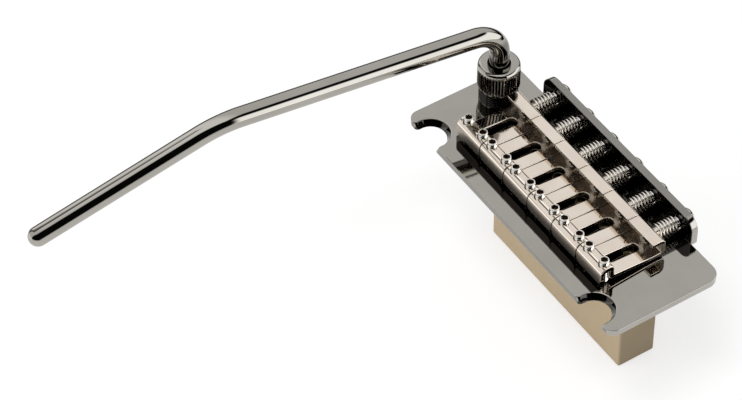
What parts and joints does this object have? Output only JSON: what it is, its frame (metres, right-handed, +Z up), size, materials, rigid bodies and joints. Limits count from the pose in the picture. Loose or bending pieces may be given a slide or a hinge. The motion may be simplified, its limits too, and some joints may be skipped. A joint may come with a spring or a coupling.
{
  "type": "guitar tremolo bridge",
  "caption": "Guitar tremolo bridge: bent steel plate with sprung bent-steel saddles, sustain block below and swinging arm in a knurled socket.",
  "frame": {"origin": "midway between the centres of the two stud notches, on the underside of the plate", "axes": "+X along the row of saddles towards the end without the arm, +Y from the strings' side to the rear wall, +Z up through the plate"},
  "size_m": [0.1051, 0.1484, 0.0686],
  "materials": {
    "dark_chrome": "polished dark plating",
    "satin_nickel": "fine satin warm nickel",
    "bright_nickel": "bright nickel",
    "block_paint": "matte sand-coloured paint",
    "zinc": "zinc-plated",
    "sleeve_plastic": "natural nylon"
  },
  "bodies": {
    "bridge": {"base_plate": "dark_chrome", "sustain_block": "block_paint", "block_screws": "zinc", "arm_sleeve": "sleeve_plastic", "arm_bush": "dark_chrome", "bush_washer": "zinc", "bush_nut": "zinc"},
    "arm": {"tremolo_arm": "dark_chrome"},
    "collar": {"knurled_collar": "dark_chrome"},
    "spring_1": {"intonation_spring_1": "bright_nickel"},
    "saddle_1": {"saddle_1": "satin_nickel"},
    "screw_1": {"intonation_screw_1": "bright_nickel"},
    "height_1": {"height_screws_1": "bright_nickel"},
    "spring_2": {"intonation_spring_2": "bright_nickel"},
    "saddle_2": {"saddle_2": "satin_nickel"},
    "screw_2": {"intonation_screw_2": "bright_nickel"},
    "height_2": {"height_screws_2": "bright_nickel"},
    "spring_3": {"intonation_spring_3": "bright_nickel"},
    "saddle_3": {"saddle_3": "satin_nickel"},
    "screw_3": {"intonation_screw_3": "bright_nickel"},
    "height_3": {"height_screws_3": "bright_nickel"},
    "spring_4": {"intonation_spring_4": "bright_nickel"},
    "saddle_4": {"saddle_4": "satin_nickel"},
    "screw_4": {"intonation_screw_4": "bright_nickel"},
    "height_4": {"height_screws_4": "bright_nickel"},
    "spring_5": {"intonation_spring_5": "bright_nickel"},
    "saddle_5": {"saddle_5": "satin_nickel"},
    "screw_5": {"intonation_screw_5": "bright_nickel"},
    "height_5": {"height_screws_5": "bright_nickel"},
    "spring_6": {"intonation_spring_6": "bright_nickel"},
    "saddle_6": {"saddle_6": "satin_nickel"},
    "screw_6": {"intonation_screw_6": "bright_nickel"},
    "height_6": {"height_screws_6": "bright_nickel"}
  },
  "joints": [
    {"name": "arm_swing", "type": "hinge", "parent": "bridge", "child": "arm", "pos_m": [-0.0388, 0.023, 0.02], "axis": [0, 0, 1], "continuous": true},
    {"name": "collar_turn", "type": "hinge", "parent": "bridge", "child": "collar", "pos_m": [-0.0388, 0.023, 0.01], "axis": [0, 0, 1], "range_deg": [-45, 90]},
    {"name": "tilt_1", "type": "hinge", "parent": "bridge", "child": "spring_1", "pos_m": [-0.027, 0.0345, 0.0054], "axis": [-1, 0, 0], "range_deg": [0, 4]},
    {"name": "turn_1", "type": "hinge", "parent": "spring_1", "child": "screw_1", "pos_m": [-0.027, 0.03, 0.0054], "axis": [0, -1, 0], "range_deg": [-1441, 2521]},
    {"name": "slide_1", "type": "slide", "parent": "spring_1", "child": "saddle_1", "axis": [0, 1, 0], "range_m": [-0.002, 0.0035], "deforming": ["intonation_spring_1"]},
    {"name": "height_1", "type": "slide", "parent": "saddle_1", "child": "height_1", "axis": [0, 0, 1], "range_m": [-0.0019, 0]},
    {"name": "tilt_2", "type": "hinge", "parent": "bridge", "child": "spring_2", "pos_m": [-0.0162, 0.0345, 0.0054], "axis": [-1, 0, 0], "range_deg": [0, 4]},
    {"name": "turn_2", "type": "hinge", "parent": "spring_2", "child": "screw_2", "pos_m": [-0.0162, 0.03, 0.0054], "axis": [0, -1, 0], "range_deg": [-1441, 2521]},
    {"name": "slide_2", "type": "slide", "parent": "spring_2", "child": "saddle_2", "axis": [0, 1, 0], "range_m": [-0.002, 0.0035], "deforming": ["intonation_spring_2"]},
    {"name": "height_2", "type": "slide", "parent": "saddle_2", "child": "height_2", "axis": [0, 0, 1], "range_m": [-0.0019, 0]},
    {"name": "tilt_3", "type": "hinge", "parent": "bridge", "child": "spring_3", "pos_m": [-0.0054, 0.0345, 0.0054], "axis": [-1, 0, 0], "range_deg": [0, 4]},
    {"name": "turn_3", "type": "hinge", "parent": "spring_3", "child": "screw_3", "pos_m": [-0.0054, 0.03, 0.0054], "axis": [0, -1, 0], "range_deg": [-1441, 2521]},
    {"name": "slide_3", "type": "slide", "parent": "spring_3", "child": "saddle_3", "axis": [0, 1, 0], "range_m": [-0.002, 0.0035], "deforming": ["intonation_spring_3"]},
    {"name": "height_3", "type": "slide", "parent": "saddle_3", "child": "height_3", "axis": [0, 0, 1], "range_m": [-0.0019, 0]},
    {"name": "tilt_4", "type": "hinge", "parent": "bridge", "child": "spring_4", "pos_m": [0.0054, 0.0345, 0.0054], "axis": [-1, 0, 0], "range_deg": [0, 4]},
    {"name": "turn_4", "type": "hinge", "parent": "spring_4", "child": "screw_4", "pos_m": [0.0054, 0.03, 0.0054], "axis": [0, -1, 0], "range_deg": [-1441, 2521]},
    {"name": "slide_4", "type": "slide", "parent": "spring_4", "child": "saddle_4", "axis": [0, 1, 0], "range_m": [-0.002, 0.0035], "deforming": ["intonation_spring_4"]},
    {"name": "height_4", "type": "slide", "parent": "saddle_4", "child": "height_4", "axis": [0, 0, 1], "range_m": [-0.0019, 0]},
    {"name": "tilt_5", "type": "hinge", "parent": "bridge", "child": "spring_5", "pos_m": [0.0162, 0.0345, 0.0054], "axis": [-1, 0, 0], "range_deg": [0, 4]},
    {"name": "turn_5", "type": "hinge", "parent": "spring_5", "child": "screw_5", "pos_m": [0.0162, 0.03, 0.0054], "axis": [0, -1, 0], "range_deg": [-1441, 2521]},
    {"name": "slide_5", "type": "slide", "parent": "spring_5", "child": "saddle_5", "axis": [0, 1, 0], "range_m": [-0.002, 0.0035], "deforming": ["intonation_spring_5"]},
    {"name": "height_5", "type": "slide", "parent": "saddle_5", "child": "height_5", "axis": [0, 0, 1], "range_m": [-0.0019, 0]},
    {"name": "tilt_6", "type": "hinge", "parent": "bridge", "child": "spring_6", "pos_m": [0.027, 0.0345, 0.0054], "axis": [-1, 0, 0], "range_deg": [0, 4]},
    {"name": "turn_6", "type": "hinge", "parent": "spring_6", "child": "screw_6", "pos_m": [0.027, 0.03, 0.0054], "axis": [0, -1, 0], "range_deg": [-1441, 2521]},
    {"name": "slide_6", "type": "slide", "parent": "spring_6", "child": "saddle_6", "axis": [0, 1, 0], "range_m": [-0.002, 0.0035], "deforming": ["intonation_spring_6"]},
    {"name": "height_6", "type": "slide", "parent": "saddle_6", "child": "height_6", "axis": [0, 0, 1], "range_m": [-0.0019, 0]}
  ],
  "couplings": [
    {"joint": "turn_1", "follows": "slide_1", "rad_per_m": 12566},
    {"joint": "height_1", "follows": "tilt_1", "m_per_rad": -0.0235},
    {"joint": "turn_2", "follows": "slide_2", "rad_per_m": 12566},
    {"joint": "height_2", "follows": "tilt_2", "m_per_rad": -0.0235},
    {"joint": "turn_3", "follows": "slide_3", "rad_per_m": 12566},
    {"joint": "height_3", "follows": "tilt_3", "m_per_rad": -0.0235},
    {"joint": "turn_4", "follows": "slide_4", "rad_per_m": 12566},
    {"joint": "height_4", "follows": "tilt_4", "m_per_rad": -0.0235},
    {"joint": "turn_5", "follows": "slide_5", "rad_per_m": 12566},
    {"joint": "height_5", "follows": "tilt_5", "m_per_rad": -0.0235},
    {"joint": "turn_6", "follows": "slide_6", "rad_per_m": 12566},
    {"joint": "height_6", "follows": "tilt_6", "m_per_rad": -0.0235}
  ]
}
